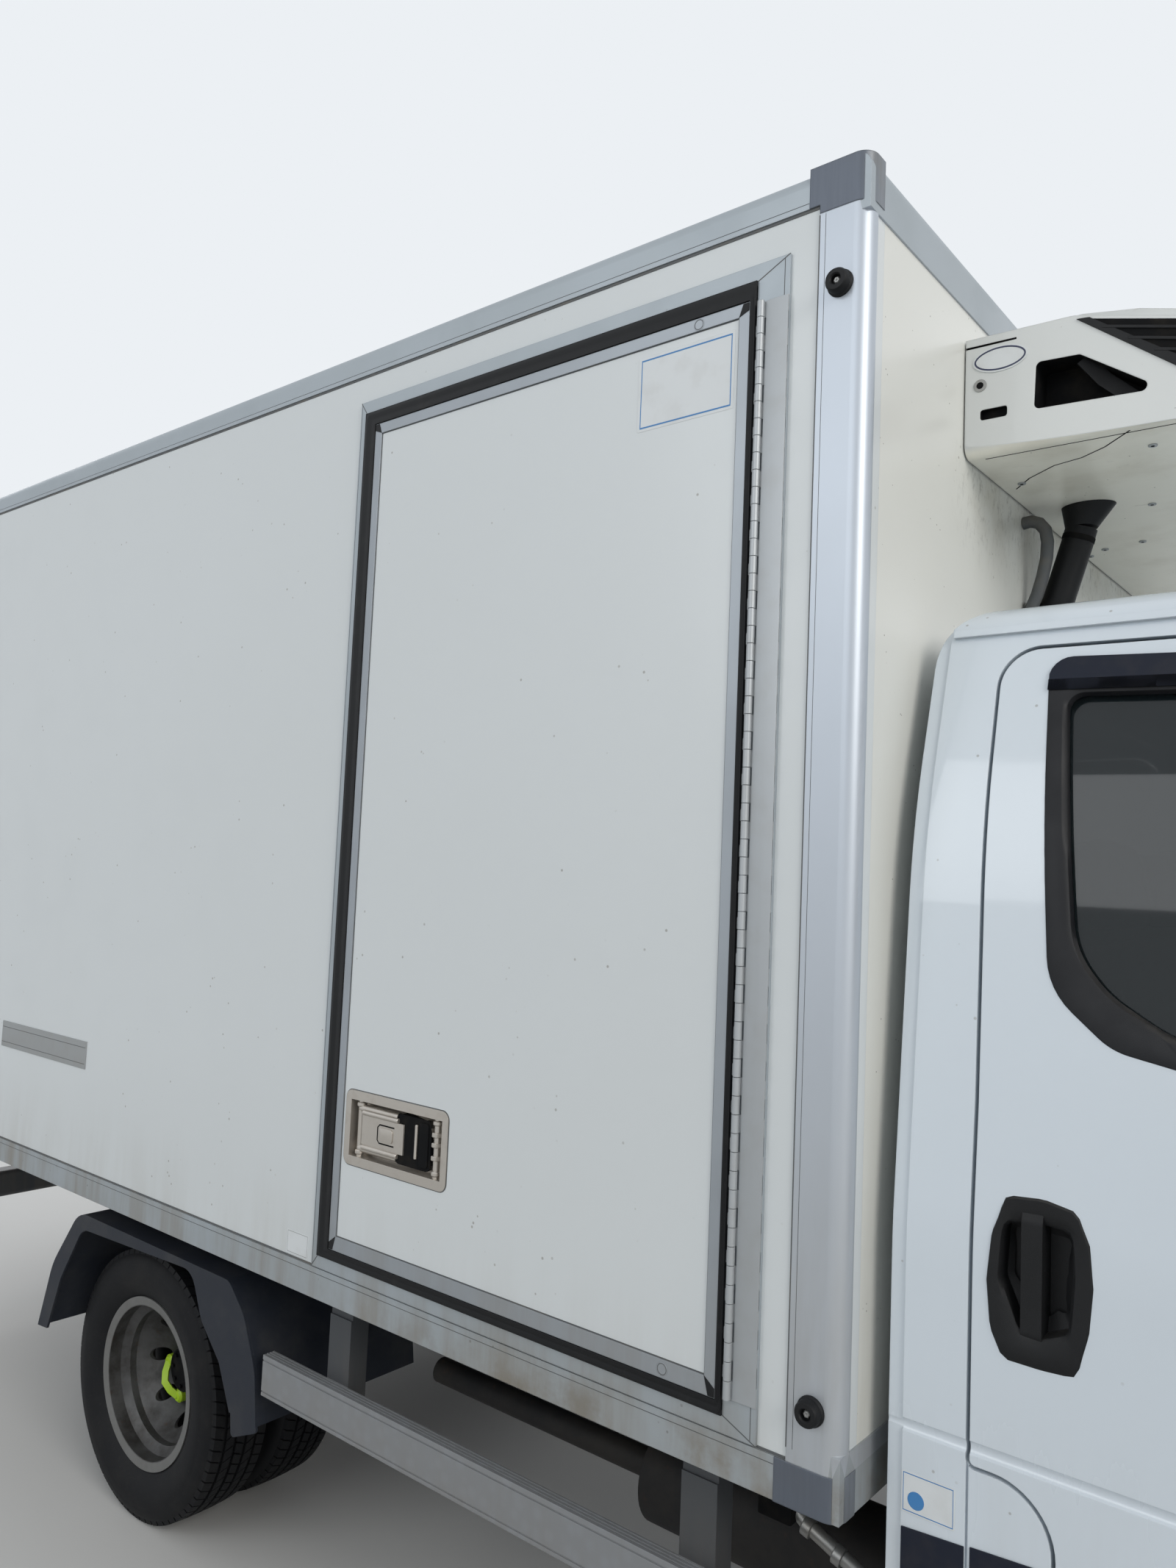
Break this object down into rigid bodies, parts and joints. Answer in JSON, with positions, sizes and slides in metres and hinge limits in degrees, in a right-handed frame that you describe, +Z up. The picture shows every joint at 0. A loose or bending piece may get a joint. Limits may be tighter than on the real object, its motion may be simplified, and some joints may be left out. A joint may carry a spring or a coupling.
{
  "type": "refrigerated truck",
  "caption": "Light chassis-cab truck with an insulated box body, nose-mounted cooling unit, hinged side door, rear doors and twin rear wheels.",
  "frame": {"origin": "on the ground, below the middle of the truck's overall length and width", "axes": "+X forward, +Y to the driver's left, +Z up"},
  "size_m": [6.394, 2.5, 2.983],
  "materials": {
    "white_panel": "gel-coated GRP, satin",
    "alu_profile": "satin anodised",
    "alu_casting": "brushed",
    "stainless": "brushed",
    "cab_white": "gloss paint",
    "black_plastic": "moulded",
    "black_rubber": "moulded",
    "glass": "clear",
    "lamp": "clear",
    "rear_lamp": "gloss",
    "tyre": "rubber",
    "wheel_steel": "satin paint",
    "chassis_black": "satin paint",
    "cast_iron": "as cast",
    "seat_fabric": "woven",
    "interior_grey": "grained",
    "floor_resin": "grit resin",
    "galvanised": "galvanised"
  },
  "bodies": {
    "root": {"chassis_frame": "chassis_black", "front_suspension": "chassis_black", "leaf_springs": "chassis_black", "rear_axle": "cast_iron", "propshaft": "chassis_black", "engine_block": "cast_iron", "fuel_tank": "black_plastic", "exhaust": "galvanised", "cab_shell": "cab_white", "cab_floor": "interior_grey", "front_wings": "cab_white", "front_bumper": "black_plastic", "front_grille": "black_plastic", "headlamps": "lamp", "windscreen": "glass", "seats": "seat_fabric", "dashboard": "interior_grey", "box_floor": "floor_resin", "box_side_left": "white_panel", "box_side_right": "white_panel", "box_front_wall": "white_panel", "box_roof": "white_panel", "box_edge_rails": "alu_profile", "box_corner_castings": "alu_casting", "rear_frame": "stainless", "side_door_frame": "alu_profile", "door_buffers": "black_rubber", "unit_housing": "white_panel", "unit_grille": "black_plastic", "unit_hose": "black_rubber", "evaporator": "white_panel", "side_guards": "alu_profile", "rear_mudguards": "black_plastic", "underrun_bar": "galvanised", "rear_lamps": "rear_lamp"},
    "knuckle_left": {"knuckle_left": "cast_iron"},
    "knuckle_right": {"knuckle_right": "cast_iron"},
    "front_wheel_left": {"front_tyre_left": "tyre", "front_rim_left": "wheel_steel"},
    "front_wheel_right": {"front_tyre_right": "tyre", "front_rim_right": "wheel_steel"},
    "rear_wheels_left": {"rear_tyres_left": "tyre", "rear_rims_left": "wheel_steel"},
    "rear_wheels_right": {"rear_tyres_right": "tyre", "rear_rims_right": "wheel_steel"},
    "cab_door_left": {"cab_door_left": "cab_white", "cab_door_glass_left": "glass"},
    "cab_door_right": {"cab_door_right": "cab_white", "cab_door_glass_right": "glass"},
    "bonnet": {"bonnet": "cab_white"},
    "side_door": {"side_door": "white_panel", "side_door_latch": "stainless"},
    "rear_door_left": {"rear_door_left": "white_panel"},
    "rear_door_right": {"rear_door_right": "white_panel"},
    "steering_wheel": {"steering_wheel": "black_plastic"}
  },
  "joints": [
    {"name": "steer_left", "type": "hinge", "parent": "root", "child": "knuckle_left", "pos_m": [2.197, 0.75, 0.3495], "axis": [0, 0, 1], "range_deg": [-38, 38]},
    {"name": "steer_right", "type": "hinge", "parent": "root", "child": "knuckle_right", "pos_m": [2.197, -0.75, 0.3495], "axis": [0, 0, 1], "range_deg": [-38, 38]},
    {"name": "steering_wheel_turn", "type": "hinge", "parent": "root", "child": "steering_wheel", "pos_m": [2.015, 0.56, 1.35], "axis": [-0.766, 0, 0.6428], "range_deg": [-460, 460]},
    {"name": "front_left_spin", "type": "hinge", "parent": "knuckle_left", "child": "front_wheel_left", "pos_m": [2.197, 0.85, 0.3495], "axis": [0, 1, 0], "continuous": true},
    {"name": "front_right_spin", "type": "hinge", "parent": "knuckle_right", "child": "front_wheel_right", "pos_m": [2.197, -0.85, 0.3495], "axis": [0, 1, 0], "continuous": true},
    {"name": "rear_left_spin", "type": "hinge", "parent": "root", "child": "rear_wheels_left", "pos_m": [-1.253, 0.7885, 0.3495], "axis": [0, 1, 0], "continuous": true},
    {"name": "rear_right_spin", "type": "hinge", "parent": "root", "child": "rear_wheels_right", "pos_m": [-1.253, -0.7885, 0.3495], "axis": [0, 1, 0], "continuous": true},
    {"name": "cab_door_left_hinge", "type": "hinge", "parent": "root", "child": "cab_door_left", "pos_m": [2.1, 1.007, 1.2], "axis": [0, 0, -1], "range_deg": [0, 70]},
    {"name": "cab_door_right_hinge", "type": "hinge", "parent": "root", "child": "cab_door_right", "pos_m": [2.1, -1.007, 1.2], "axis": [0, 0, 1], "range_deg": [0, 70]},
    {"name": "bonnet_hinge", "type": "hinge", "parent": "root", "child": "bonnet", "pos_m": [2.48, 0, 1.428], "axis": [0, -1, 0], "range_deg": [0, 55]},
    {"name": "side_door_hinge", "type": "hinge", "parent": "root", "child": "side_door", "pos_m": [0.6625, -1.1105, 1.865], "axis": [0, 0, -1], "range_deg": [-176, 0]},
    {"name": "rear_door_left_hinge", "type": "hinge", "parent": "root", "child": "rear_door_left", "pos_m": [-3.185, 1.105, 1.915], "axis": [0, 0, -1], "range_deg": [0, 270]},
    {"name": "rear_door_right_hinge", "type": "hinge", "parent": "root", "child": "rear_door_right", "pos_m": [-3.185, -1.105, 1.915], "axis": [0, 0, 1], "range_deg": [0, 270]}
  ],
  "couplings": [
    {"joint": "steer_right", "follows": "steer_left", "ratio": 1},
    {"joint": "steering_wheel_turn", "follows": "steer_left", "ratio": 12}
  ]
}
